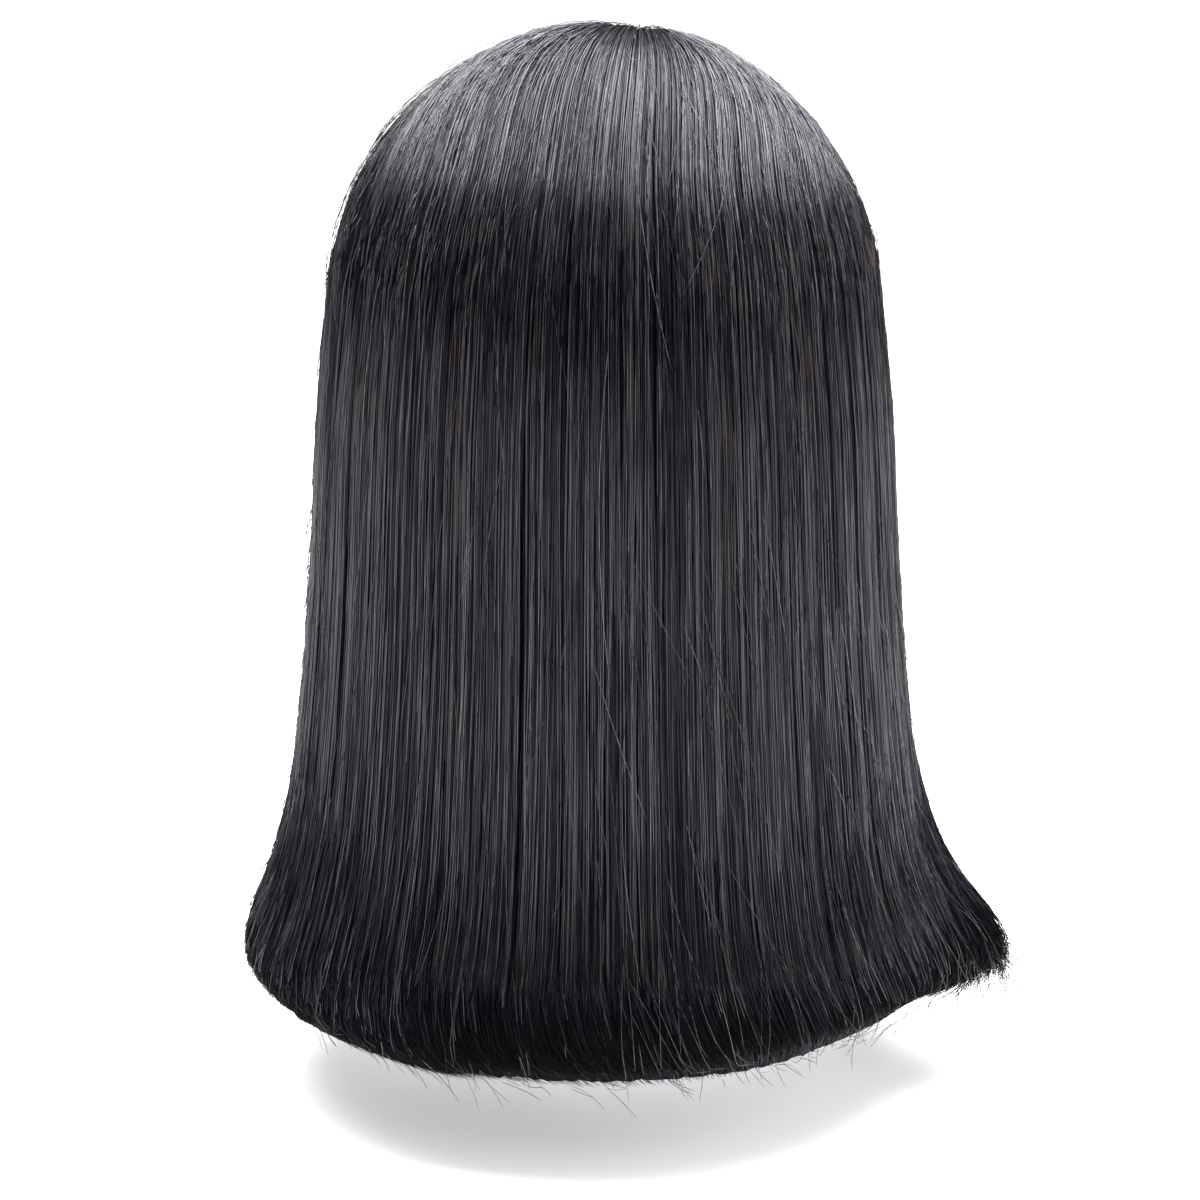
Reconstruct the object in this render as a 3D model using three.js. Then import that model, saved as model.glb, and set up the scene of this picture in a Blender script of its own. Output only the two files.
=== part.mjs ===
// Straight shoulder-length bob wig with a parting near the middle, kept in the form that a head gives it.
// Millimetres, +Z up. The wearer faces -Y, so the back of the hair is towards +Y and the wearer's left
// is +X. The origin is where the top of the head touches the inside of the cap.
// Azimuths are degrees round the head: 0 at the back, 90 at the wearer's left, 180 at the face.
import * as THREE from "three";
import { mergeVertices } from "three/addons/utils/BufferGeometryUtils.js";

// Head that the cap fits
const HEAD_HALF_WIDTH = 76;
const HEAD_HALF_LENGTH = 96;
const HEAD_CROWN_HEIGHT = 84; // top of the head down to its widest level
const HEAD_LOWER_HEIGHT = 120; // from there down to where the rounded skull would close

// Cap
const CAP_WALL = 1.5;
const CAP_FOREHEAD_DROP = 47; // top of the head down to the cap's front edge
const CAP_NAPE_DROP = 150; // and down to its back edge

// Parting
const PARTING_OFFSET = 10; // from the middle towards the wearer's right
const PARTING_WIDTH = 6;
const PARTING_LENGTH = 79;
const PARTING_BACK = 14; // its back end lies this far in front of the middle of the head
const LACE_THICKNESS = 0.8;

// Hair over the cap
const HAIR_DEPTH_TOP = 8.5;
const HAIR_DEPTH_SIDE = 10.5;
const HAIR_DEPTH_BACK = 9;
const HAIR_DEPTH_FRONT = 6;
const HAIR_WIDEST_DROP = 78; // top of the head down to where the crown's curve ends

// Hanging hair
const HAIR_DROP = 301; // top of the head down to the tips
const FLARE_SIDE = 32; // how far the hem stands out past the crown
const FLARE_BACK = 17;
const FLARE_FRONT = 8;
const TIP_THICKNESS = 7;
const TUCK_SIDE = 5; // how far the ends turn under
const TUCK_BACK = 18;
const TUCK_FRONT = 8;
const LOCK_RELIEF = 1.4; // depth of the grooves between locks
const LOCK_STEP = 3; // depth of the notches between the locks' tips
const TRIM_START = 0.6; // share of the hanging hair from which a shorter lock draws up
const FRONT_ROUNDING = 5; // how far the outside turns in at the hair's front edges
const ROUNDING_AZIMUTH = 132; // and where round the head that starts

// Small flick of the ends at the wearer's right
const FLICK_REACH = 9;
const FLICK_RISE = 2.5;
const FLICK_AZIMUTH = -86;
const FLICK_SPREAD = 9;
const FLICK_START = 0.92; // share of the hanging hair at which it starts

const GAP = 0.3; // between neighbouring pieces
const HAIR_CLEARANCE = 0.95; // hair over the cap, so that flat facets between their edges keep the gap

// Cap's edge round one side: share of the way from the forehead's height down to the nape's
const CAP_EDGE = [
  { azimuth: 0, share: 1 },
  { azimuth: 35, share: 0.93 },
  { azimuth: 65, share: 0.6 },
  { azimuth: 88, share: 0.36 },
  { azimuth: 112, share: 0.52 },
  { azimuth: 132, share: 0.2 },
  { azimuth: 155, share: 0.05 },
  { azimuth: 180, share: 0 },
];

// Hanging hair from the crown's widest level to the tips: share of the drop, of the flare and of the tuck
const CURTAIN = [
  { drop: 0.08, flare: 0.08, tuck: 0 },
  { drop: 0.19, flare: 0.14, tuck: 0 },
  { drop: 0.33, flare: 0.19, tuck: 0 },
  { drop: 0.47, flare: 0.26, tuck: 0 },
  { drop: 0.6, flare: 0.35, tuck: 0 },
  { drop: 0.71, flare: 0.45, tuck: 0 },
  { drop: 0.78, flare: 0.56, tuck: 0 },
  { drop: 0.845, flare: 0.73, tuck: 0 },
  { drop: 0.9, flare: 0.91, tuck: 0.06 },
  { drop: 0.945, flare: 1, tuck: 0.25 },
  { drop: 0.98, flare: 1.02, tuck: 0.62 },
  { drop: 1, flare: 1.02, tuck: 1 },
];

// Hair panels by azimuth
const PANELS = [
  { name: "hair_front_right", from: -145, to: -105 },
  { name: "hair_side_right", from: -105, to: -63 },
  { name: "hair_back_right", from: -63, to: -21 },
  { name: "hair_back_middle", from: -21, to: 21 },
  { name: "hair_back_left", from: 21, to: 63 },
  { name: "hair_side_left", from: 63, to: 105 },
  { name: "hair_front_left", from: 105, to: 145 },
];
const FRONT_AZIMUTH = PANELS[PANELS.length - 1].to;

// Locks of a panel: share of the notches' depth that is cut off each lock's tip
const LOCKS = [{ trim: 0.1 }, { trim: 0.7 }, { trim: 0.3 }, { trim: 0.5 }];

// Mesh steps
const COLUMNS_PER_LOCK = 4;
const CROWN_STEPS = 8;
const CAP_COLUMNS = 40;
const CAP_STEPS = 9;
const LACE_STEPS = 12;

const HALF_PI = Math.PI / 2;
const { clamp, degToRad, lerp, smoothstep } = THREE.MathUtils;

// Half sizes of the hair's outside where the crown ends
const HAIR_HALF_WIDTH = HEAD_HALF_WIDTH + CAP_WALL + HAIR_DEPTH_SIDE;
const HAIR_BACK_REACH = HEAD_HALF_LENGTH + CAP_WALL + HAIR_DEPTH_BACK;
const HAIR_FRONT_REACH = HEAD_HALF_LENGTH + CAP_WALL + HAIR_DEPTH_FRONT;
const HAIR_CROWN_HEIGHT = CAP_WALL + HAIR_DEPTH_TOP + HAIR_WIDEST_DROP;

const HAIR_MATERIAL = { color: 0x17161a, roughness: 0.42, metalness: 0 };
const CAP_MATERIAL = { color: 0x1f1a18, roughness: 0.85, metalness: 0 };
const LACE_MATERIAL = { color: 0xc79a7c, roughness: 0.8, metalness: 0 };

// Value of one column of a table, eased between the rows on either side
function valueAt(rows, key, column, at) {
  const next = rows.findIndex((row) => row[key] >= at);
  if (next <= 0) return rows[next < 0 ? rows.length - 1 : 0][column];
  const [low, high] = [rows[next - 1], rows[next]];
  return lerp(low[column], high[column], smoothstep(at, low[key], high[key]));
}

// Closed body between an outer and an inner grid of points, each an array of rows from top to edge
function wallGeometry(outer, inner, wraps) {
  const rows = outer.length;
  const columns = outer[0].length;
  const points = [...outer.flat(), ...inner.flat()];
  const geometry = new THREE.BufferGeometry().setFromPoints(points);
  const place = (side, row, column) => (side * rows + row) * columns + (column % columns);
  const index = [];
  const quad = (a, b, c, d) => index.push(a, b, c, a, c, d);
  const steps = wraps ? columns : columns - 1;
  for (let row = 0; row < rows - 1; row++) {
    for (let column = 0; column < steps; column++) {
      for (const side of [0, 1]) {
        const corners = [
          place(side, row, column),
          place(side, row + 1, column),
          place(side, row + 1, column + 1),
          place(side, row, column + 1),
        ];
        quad(...(side ? corners.reverse() : corners));
      }
    }
    if (wraps) continue;
    quad(place(0, row, 0), place(1, row, 0), place(1, row + 1, 0), place(0, row + 1, 0));
    const last = columns - 1;
    quad(place(0, row, last), place(0, row + 1, last), place(1, row + 1, last), place(1, row, last));
  }
  for (let column = 0; column < steps; column++) {
    const end = rows - 1;
    quad(place(0, end, column), place(1, end, column), place(1, end, column + 1), place(0, end, column + 1));
    if (wraps) continue;
    quad(place(0, 0, column), place(0, 0, column + 1), place(1, 0, column + 1), place(1, 0, column));
  }
  geometry.setIndex(index);
  return withoutSlivers(mergeVertices(geometry, 1e-3));
}

// Geometry without the triangles that lost a corner when their vertices were merged
function withoutSlivers(geometry) {
  const kept = [];
  const index = geometry.index.array;
  for (let i = 0; i < index.length; i += 3) {
    const [a, b, c] = index.slice(i, i + 3);
    if (a !== b && b !== c && c !== a) kept.push(a, b, c);
  }
  geometry.setIndex(kept);
  geometry.computeVertexNormals();
  return geometry;
}

// Point at a height over the head's skin, on the line from the middle of the head to a point
function overHead(point, height) {
  const lower = point.z < -HEAD_CROWN_HEIGHT;
  const ray = new THREE.Vector3(point.x, point.y, point.z + HEAD_CROWN_HEIGHT);
  const reach = Math.hypot(
    ray.x / (HEAD_HALF_WIDTH + height),
    ray.y / (HEAD_HALF_LENGTH + height),
    ray.z / ((lower ? HEAD_LOWER_HEIGHT : HEAD_CROWN_HEIGHT) + height),
  );
  return ray.divideScalar(reach).add(new THREE.Vector3(0, 0, -HEAD_CROWN_HEIGHT));
}

// How far the cap's edge lies below the top of the head
function capEdgeDrop(azimuth) {
  const share = valueAt(CAP_EDGE, "azimuth", "share", Math.abs(azimuth));
  return lerp(CAP_FOREHEAD_DROP, CAP_NAPE_DROP, share);
}

// Cap wall from the top of the head to its shaped edge
function capGeometry() {
  const skin = (height) => {
    const rows = [];
    for (let step = 0; step <= CAP_STEPS; step++) {
      const row = [];
      for (let column = 0; column < CAP_COLUMNS; column++) {
        const azimuth = 180 - (360 * column) / CAP_COLUMNS;
        const fall = HEAD_CROWN_HEIGHT - capEdgeDrop(azimuth);
        const scale = fall < 0 ? HEAD_LOWER_HEIGHT : HEAD_CROWN_HEIGHT;
        const tilt = (Math.acos(fall / scale) * step) / CAP_STEPS;
        const depth = tilt > HALF_PI ? HEAD_LOWER_HEIGHT : HEAD_CROWN_HEIGHT;
        const turn = degToRad(azimuth);
        row.push(
          new THREE.Vector3(
            (HEAD_HALF_WIDTH + height) * Math.sin(tilt) * Math.sin(turn),
            (HEAD_HALF_LENGTH + height) * Math.sin(tilt) * Math.cos(turn),
            (depth + height) * Math.cos(tilt) - HEAD_CROWN_HEIGHT,
          ),
        );
      }
      rows.push(row);
    }
    return rows;
  };
  return wallGeometry(skin(CAP_WALL), skin(0), true);
}

// Plan position of a strand's root: round the parting's back end, or along its side
function rootAt(azimuth) {
  const turn = degToRad(clamp(azimuth, -90, 90));
  const along = Math.max(0, (Math.abs(azimuth) - 90) / (FRONT_AZIMUTH - 90));
  return new THREE.Vector2(
    (PARTING_WIDTH / 2) * Math.sin(turn) - PARTING_OFFSET,
    (PARTING_WIDTH / 2) * Math.cos(turn) - PARTING_BACK - along * PARTING_LENGTH,
  );
}

// How much of the flick shows at an azimuth
function flickAt(azimuth) {
  return Math.exp(-(((azimuth - FLICK_AZIMUTH) / FLICK_SPREAD) ** 2));
}

// Half sizes of the hair's outside at a row of the curtain, towards the side and towards back or front
function outsideAt(azimuth, row) {
  const isBack = Math.abs(azimuth) < 90;
  const tuck = row.tuck * (1 - flickAt(azimuth));
  const back = HAIR_BACK_REACH + row.flare * FLARE_BACK - tuck * TUCK_BACK;
  const front = HAIR_FRONT_REACH + row.flare * FLARE_FRONT - tuck * TUCK_FRONT;
  return {
    width: HAIR_HALF_WIDTH + row.flare * FLARE_SIDE - tuck * TUCK_SIDE,
    length: isBack ? back : front,
  };
}

// Ellipsoid of the crown's outside at a plan position
function crownPoint(x, y) {
  const length = y > 0 ? HAIR_BACK_REACH : HAIR_FRONT_REACH;
  const rise = Math.sqrt(Math.max(0, 1 - (x / HAIR_HALF_WIDTH) ** 2 - (y / length) ** 2));
  return new THREE.Vector3(x, y, HAIR_CROWN_HEIGHT * rise - HAIR_WIDEST_DROP);
}

// Half size of the hair's inside at a drop: against the cap down to its edge, then out to the tips
function insideAt(azimuth, drop, head, outside) {
  const edgeDrop = capEdgeDrop(azimuth);
  const cover = CAP_WALL + HAIR_CLEARANCE;
  const below = Math.min(drop, edgeDrop) - HEAD_CROWN_HEIGHT;
  const height = (below > 0 ? HEAD_LOWER_HEIGHT : HEAD_CROWN_HEIGHT) + cover;
  const overCap = (head + cover) * Math.sqrt(1 - (below / height) ** 2);
  return lerp(overCap, outside - TIP_THICKNESS, smoothstep(drop, edgeDrop, HAIR_DROP));
}

// Outside and inside points of the hair over the crown at an azimuth, from the root down
function crownPairs(azimuth, relief) {
  const turn = degToRad(azimuth);
  const root = rootAt(azimuth);
  const top = outsideAt(azimuth, { flare: 0, tuck: 0 });
  const foot = new THREE.Vector2(top.width * Math.sin(turn), top.length * Math.cos(turn));
  const pairs = [];
  for (let step = 0; step <= CROWN_STEPS; step++) {
    const share = Math.sin((HALF_PI * step) / CROWN_STEPS);
    const plan = root.clone().lerp(foot, share);
    const outer = crownPoint(plan.x, plan.y);
    const inner = overHead(outer, CAP_WALL + HAIR_CLEARANCE);
    outer.addScaledVector(outer.clone().sub(inner).normalize(), -relief * share);
    pairs.push({ outer, inner });
  }
  return pairs;
}

// Outside and inside points of the hanging hair at an azimuth, down to the tips
function curtainPairs(azimuth, relief, trim) {
  const turn = degToRad(azimuth);
  const flick = flickAt(azimuth);
  return CURTAIN.map((row) => {
    const drop = lerp(HAIR_WIDEST_DROP, HAIR_DROP, row.drop);
    const height = (trim + FLICK_RISE * flick) * smoothstep(row.drop, TRIM_START, 1) - drop;
    const sideways = FLICK_REACH * flick * smoothstep(row.drop, FLICK_START, 1);
    const size = outsideAt(azimuth, row);
    const width = insideAt(azimuth, drop, HEAD_HALF_WIDTH, size.width);
    const length = insideAt(azimuth, drop, HEAD_HALF_LENGTH, size.length);
    const at = (halfWidth, halfLength) =>
      new THREE.Vector3((halfWidth + sideways) * Math.sin(turn), halfLength * Math.cos(turn), height);
    return { outer: at(size.width - relief, size.length - relief), inner: at(width, length) };
  });
}

// One panel of hair: locks side by side, fused into a wall that narrows towards the parting
function panelGeometry(panel) {
  const columns = LOCKS.length * COLUMNS_PER_LOCK;
  const strands = [];
  for (let column = 0; column <= columns; column++) {
    const azimuth = lerp(panel.to, panel.from, column / columns);
    const lock = LOCKS[Math.min(LOCKS.length - 1, Math.floor(column / COLUMNS_PER_LOCK))];
    const ridge = Math.abs(Math.sin((Math.PI * column) / COLUMNS_PER_LOCK));
    const rounding = FRONT_ROUNDING * smoothstep(Math.abs(azimuth), ROUNDING_AZIMUTH, FRONT_AZIMUTH) ** 2;
    const relief = LOCK_RELIEF * (1 - ridge) + rounding;
    const trim = LOCK_STEP * lerp(1, lock.trim, ridge);
    strands.push([...crownPairs(azimuth, relief), ...curtainPairs(azimuth, relief, trim)]);
  }
  const grid = (side) => strands[0].map((_, row) => strands.map((pairs) => pairs[row][side]));
  const [outer, inner] = [grid("outer"), grid("inner")];
  [...outer, ...inner].forEach(openSides);
  return wallGeometry(outer, inner, false);
}

// Row of points with each end drawn in by half the gap to the next panel
function openSides(row) {
  const last = row.length - 1;
  for (const [end, next] of [
    [row[0], row[1]],
    [row[last], row[last - 1]],
  ]) {
    end.addScaledVector(next.clone().sub(end).normalize(), GAP / 2);
  }
}

// Lace along the bottom of the parting, between the inner edges of the hair on either side
function laceGeometry() {
  const layer = (height) => {
    const rows = [];
    for (let step = 0; step <= LACE_STEPS; step++) {
      const y = -PARTING_BACK - PARTING_LENGTH * (step / LACE_STEPS);
      const row = [];
      for (const side of [-1, 0, 1]) {
        const over = crownPoint((side * PARTING_WIDTH) / 2 - PARTING_OFFSET, y);
        const point = overHead(over, CAP_WALL + GAP + height);
        row.push(point.setX(point.x - side * GAP));
      }
      rows.push(row);
    }
    return rows;
  };
  return wallGeometry(layer(LACE_THICKNESS), layer(0), false);
}

function piece(name, geometry, look) {
  const mesh = new THREE.Mesh(geometry, new THREE.MeshStandardMaterial(look));
  mesh.name = name;
  return mesh;
}

const wig = new THREE.Group();
wig.add(piece("cap", capGeometry(), CAP_MATERIAL));
wig.add(piece("parting_lace", laceGeometry(), LACE_MATERIAL));
for (const panel of PANELS) wig.add(piece(panel.name, panelGeometry(panel), HAIR_MATERIAL));

export default wig;
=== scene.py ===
import math

import bpy
import numpy as np
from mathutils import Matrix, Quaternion, Vector


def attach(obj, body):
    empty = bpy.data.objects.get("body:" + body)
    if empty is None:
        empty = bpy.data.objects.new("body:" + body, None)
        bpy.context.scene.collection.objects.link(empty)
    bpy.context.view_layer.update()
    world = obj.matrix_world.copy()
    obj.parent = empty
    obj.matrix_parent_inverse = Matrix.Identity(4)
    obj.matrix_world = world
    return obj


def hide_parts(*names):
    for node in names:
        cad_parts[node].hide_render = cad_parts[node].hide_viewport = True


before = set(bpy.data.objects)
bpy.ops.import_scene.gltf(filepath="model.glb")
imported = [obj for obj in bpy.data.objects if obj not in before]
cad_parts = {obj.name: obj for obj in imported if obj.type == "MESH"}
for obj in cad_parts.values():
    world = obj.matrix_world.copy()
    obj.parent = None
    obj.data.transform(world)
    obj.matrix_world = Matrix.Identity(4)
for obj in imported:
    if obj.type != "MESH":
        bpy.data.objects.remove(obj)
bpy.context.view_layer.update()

MM = 0.001
SEED = 41

# Head, cap and parting, with the same sizes as the solids
HEAD_HALF_WIDTH = 76
HEAD_HALF_LENGTH = 96
HEAD_CROWN_HEIGHT = 84
HEAD_LOWER_HEIGHT = 120
CAP_COVER = 2.45  # cap's wall and the clearance over it
CAP_FOREHEAD_DROP = 47
CAP_NAPE_DROP = 150
PARTING_OFFSET = 10
PARTING_WIDTH = 6
PARTING_LENGTH = 79
PARTING_BACK = 14

# Hair's outside, with the same sizes as the solids
HALF_WIDTH = 88
BACK_REACH = 106.5
FRONT_REACH = 103.5
CROWN_HEIGHT = 88
WIDEST_DROP = 78
HAIR_DROP = 301
FLARE_SIDE = 32
FLARE_BACK = 17
FLARE_FRONT = 8
TIP_THICKNESS = 7
FRONT_AZIMUTH = 145

# Small flick at the wearer's right, which starts higher and reaches further than the solids' does
FLICK_REACH = 12.5
FLICK_RISE = 2.5
FLICK_AZIMUTH = -86
FLICK_SPREAD = 12
FLICK_START = 0.7  # share of the hanging hair at which it starts outwards
FLICK_RISE_START = 0.6  # the same for its way up
FLICK_LOOSE = (0.86, 1.02)  # shares of the length where its ends come apart
FLICK_SPLAY = (-6, 1.5)  # how far its single ends lie further out
FLICK_RAISE = (-1, 5)  # and further up

# Ends turning under: how far, towards the point in plan that they gather to
TUCK_BACK = 17
TUCK_CORNER = 30
TUCK_SIDE = 14
TUCK_FRONT = 9
GATHER = (-45, 60)

# Top layer at the back, whose ends hang straight over the ones that turn under
OVERHANG_FROM, OVERHANG_TO = -62, 20
OVERHANG_FADE = 16
OVERHANG_SHARE = 0.62  # share of the strands there that belong to it
OVERHANG_END = 268  # top of the head down to its ends
UNDER_DEPTH = 4  # how far the ends that turn under lie behind it
UNDER_TURN = (0.78, 0.88)  # shares of the length where they go behind it
UNDER_SWEEP = 6  # degrees that they sweep to the wearer's right
SWEEP_START = 0.88
SWEEP_FROM, SWEEP_TO = -50, 75
SWEEP_FADES = (20, 25)
UNDER_START = 0.905  # share of the length from which they are painted dark and matt, as shade
UNDER_SHADED = 0.9  # share of them that are
CORNER_SHADED = 0.85  # the same at the corners, where no top layer hides them
SHADE_DOWN_FROM, SHADE_DOWN_TO = 0.5, 0.9  # shares of the length where hair turns darker and duller: painted shade lower down
SHADE_DOWN = 0.7  # share of the strands that do
SHADE_DOWN_ON_TOP = 0.2  # the same in the top layer

CAP_EDGE = np.array([
    # azimuth, share of the way from the forehead's height down to the nape's
    (0, 1), (35, 0.93), (65, 0.6), (88, 0.36), (112, 0.52), (132, 0.2), (155, 0.05), (180, 0),
])
CURTAIN = np.array([
    # share of the drop, of the flare and of the tuck
    (0, 0, 0), (0.08, 0.08, 0), (0.19, 0.14, 0), (0.33, 0.19, 0), (0.47, 0.26, 0), (0.6, 0.35, 0),
    (0.71, 0.45, 0), (0.78, 0.56, 0), (0.845, 0.74, 0), (0.9, 0.92, 0.03), (0.945, 1.02, 0.13),
    (0.98, 1.04, 0.48), (1, 1.04, 1), (1.03, 1.04, 1.75),
])
PANELS = [
    # node, azimuth from, to, strands
    ("hair_front_right", -145, -105, 1050),
    ("hair_side_right", -105, -63, 1310),
    ("hair_back_right", -63, -21, 1560),
    ("hair_back_middle", -21, 21, 1560),
    ("hair_back_left", 21, 63, 1560),
    ("hair_side_left", 63, 105, 1310),
    ("hair_front_left", 105, 145, 1050),
]

# Strands
STRAND_RINGS = 17
STRAY_RINGS = 10
RING_JITTER = 0.16  # keeps neighbours' rings from lining up
LAYER_DEPTH = 2.4  # the strands fill this much below the outside
CLUMP_WIDTH = 1.3
CLUMP_GRIP = 0.24  # how far a clump draws its strands to its middle
CLUMP_GRIP_DRIFT = 0.2  # how much that varies
CLUMP_GRIP_MOST = 0.85
SIDE_DRIFT = (0.3, 0.4)  # how far clumps and single strands wander sideways
DEPTH_DRIFT = (0.12, 0.2)  # the same in depth
ENDS_CUT = (-1.6, 1.4)  # how far before the hem the ends stop, mean and spread
MISSED_CUT = (-7, 9)  # the same for the few that the cut missed, from and to
MISSED_SHARE = 0.07
TOP_CUT_SPREAD = 3  # spread in the top layer
FIRST_END = 0.86  # no strand ends before this share of the length
UNDER_TUCK = (0.98, 0.14)  # how far the ends turn under, mean and spread
TOP_TUCK = (0, 0.25)  # the same in the top layer, from and to
INNER_SHARE = 0.14  # share of the strands that lie on the inside, below the cap
INNER_KINDS = (0.6, 0.4)  # shares of the first two kinds among them
FULL_SHARE = 0.45  # every strand has started by this share of the length
ROOT_REACH = 10  # over this length the roots come up from the lace
ROOT_REACH_BACK = 5  # the same at the parting's back end
CROWN_LIFT = 1.8  # how far the hair stands up beside the parting
CROWN_RISE, CROWN_FALL = (2, 12), (25, 80)  # lengths over which it comes up and lies down again
CROWN_SPREAD = 0.7  # how much further round the back hair starts, as a share of its azimuth
ROOT_FROM, ROOT_TO = 0.7, 2.7  # distances from the parting's middle
LACE_HEIGHT = 2.4  # over the head
# Kinds differ at random in tone, and the deeper ones are darker and less shiny: painted shade in the
# depth of the hair; the shallow sheen kind is lighter and shinier: painted sheen
KINDS = [
    # kind, share of the strands, depth below the outside from, to, radius
    ("black", 0.56, 0.5, 2.3, 0.2),
    ("dark", 0.32, 0.2, 1.4, 0.17),
    ("sheen", 0.085, 0, 0.4, 0.15),
    ("brown", 0.035, 0.05, 0.7, 0.13),
]
KIND_NAMES = [kind[0] for kind in KINDS] + ["under_shade", "pale"]
TONES = {
    # kind: darker and lighter colour, specular level, roughness from, to
    # black and dark are the hair's colour and, with their low specular levels, painted shade in the
    # depth; sheen's lighter colour is painted sheen
    "black": ((0.001, 0.001, 0.004), (0.003, 0.003, 0.008), 0.12, 0.31, 0.43),
    "dark": ((0.001, 0.001, 0.005), (0.012, 0.011, 0.014), 0.32, 0.26, 0.38),
    "sheen": ((0.002, 0.002, 0.006), (0.055, 0.051, 0.052), 0.75, 0.2, 0.33),
    "brown": ((0.004, 0.003, 0.003), (0.06, 0.041, 0.031), 0.6, 0.25, 0.4),
    # dark, matt tone painted on the ends that turn under, as their shade
    "under_shade": ((0.001, 0.0008, 0.0014), (0.005, 0.0032, 0.0035), 0.07, 0.5, 0.65),
    "pale": ((0.05, 0.042, 0.038), (0.16, 0.135, 0.12), 0.8, 0.25, 0.4),
}
SPECULAR_TINT = (0.92, 0.91, 1)
WORN_AND_LIT = 0.55  # how brown and light the ends are: partly wear, partly painted light on the ends
WORN_AND_LIT_UNDER = 0.1  # the same for the ends that are painted in shade where they turn under
# darker, duller kind that each kind turns into lower down: painted shade
SHADED_KIND = {
    "black": "black", "dark": "black", "sheen": "dark", "brown": "dark", "under_shade": "under_shade", "pale": "brown",
}

STRAYS = [
    # how, count, azimuths, shares of the length, lengths, mean lean and its spread in degrees, lifts
    ("laid", 250, (-110, 110), (0.12, 0.9), (14, 75), (0, 6), (0.15, 0.7)),
    ("laid", 150, (-85, 5), (0.5, 0.93), (12, 55), (-11, 7), (0.2, 1)),
    ("laid", 80, (-145, 145), (0.04, 0.3), (8, 40), (0, 9), (0.3, 1.2)),
    ("bowed", 70, (-140, 140), (0.05, 0.85), (30, 110), (0, 3), (1, 3.2)),
    ("bowed", 60, (40, 110), (0.08, 0.36), (25, 70), (0, 4), (1.2, 3.5)),
    ("leaving", 90, (68, 104), (0.5, 0.93), (12, 45), (0, 7), (2, 9)),
    ("leaving", 60, (-104, -70), (0.5, 0.93), (12, 40), (0, 7), (1, 7)),
    ("leaving", 80, (-115, 115), (0.03, 0.25), (8, 26), (0, 12), (1.5, 4)),
]
WISPS = [
    # count, azimuths, lengths, how far they turn outwards and back up in degrees
    (340, (-130, 130), (4, 18), 8),
    (130, (-100, -72), (8, 18), 70),
]
STRAY_KINDS = {"dark": 0.25, "sheen": 0.45, "brown": 0.2, "pale": 0.1}
STRAY_RADIUS = 0.1

# Dark wall under the strands
CORE_COLUMNS, CORE_ROWS = 291, 34
CORE_EDGE = 1.2  # degrees that it stops short of the front edges
CORE_START, CORE_LENGTH = 0.004, 0.978  # shares of the hair's length
CORE_TURN = (0.76, 0.86)  # shares where it goes behind the top layer
CORE_RIDGE, CORE_INNER_RIDGE = 0.28, 0.25  # how uneven its outside and inside are
PARTING_DIP = 3  # how much deeper it lies beside the parting
PARTING_DIP_LENGTH = 13

# Mesh steps of the surface that strands follow
AZIMUTH_STEPS = 291
SHARE_STEPS = 261
SHARE_END = 1.03
CROWN_STEPS = 60
CURTAIN_STEPS = 150

# Tones along the strands
TONE_APART = 300  # how far apart two strands lie in the noise
TONE_STRETCH = 15  # how fast the tone drifts along one
TONE_STOPS = (0.36, 0.66)
WORN_AND_LIT_START = 0.9
WORN_AND_LIT_COLOUR = (0.026, 0.019, 0.017)

# Studio in metres, and the photograph's frame in pixels
CAMERA_ELEVATION = math.radians(12)
CAMERA_DISTANCE = 1.1
CAMERA_TARGET = (0, 0, -0.156)
PHOTO_SIZE = 1200
PHOTO_FOCAL_LENGTH = 3410
PHOTO_TARGET = (604.5, 547)
FLOOR_HEIGHT = -0.33
FLOOR_REACH = 9
WORLD_SEEN = ((1, 1, 1), 1.2)  # colour and strength
WORLD_MIRRORED = ((0.9, 0.95, 1), 0.05)
LIGHTS = [
    # name, location, target, size, power, colour, turn in its own plane in degrees
    ("overhead", (0, -0.56, 1.6), (0, -0.56, 0), 2.6, 218, (0.95, 0.96, 1), -21),
    ("side", (-1.3, 1.3, 0.8), (-0.7, 0.7, -0.33), 1.2, 16, (1, 0.94, 0.9), 0),
]
SHARP_ANGLE = math.radians(35)


def eased(x, low, high):
    """Smooth step from 0 at low to 1 at high."""
    t = np.clip((x - low) / (high - low), 0, 1)
    return t * t * (3 - 2 * t)


def lerp(a, b, t):
    """Mix of a at t 0 and b at t 1."""
    return a + (b - a) * t


def curve(x, table, column):
    """Smooth curve through one column of a table, against its first column."""
    at, value = table[:, 0], table[:, column]
    slope = np.gradient(value, at)
    i = np.clip(np.searchsorted(at, x) - 1, 0, len(at) - 2)
    step = at[i + 1] - at[i]
    t = np.clip((x - at[i]) / step, 0, 1)
    return (
        value[i] * (1 + 2 * t) * (1 - t) ** 2
        + slope[i] * step * t * (1 - t) ** 2
        + value[i + 1] * t * t * (3 - 2 * t)
        + slope[i + 1] * step * t * t * (t - 1)
    )


def cap_edge_drop(azimuth):
    """How far the cap's edge lies below the top of the head."""
    share = np.interp(np.abs(azimuth), CAP_EDGE[:, 0], CAP_EDGE[:, 1])
    return lerp(CAP_FOREHEAD_DROP, CAP_NAPE_DROP, share)


def tuck_reach(azimuth):
    """How far the ends turn under at an azimuth."""
    a = np.abs(azimuth)
    corner = lerp(TUCK_BACK, TUCK_CORNER, eased(a, 10, 50))
    side = lerp(corner, TUCK_SIDE, eased(a, 60, 100))
    return lerp(side, TUCK_FRONT, eased(a, 110, FRONT_AZIMUTH))


def flick_at(azimuth):
    """Share of the outward flick that the hair at an azimuth has."""
    return np.exp(-(((azimuth - FLICK_AZIMUTH) / FLICK_SPREAD) ** 2))


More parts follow.
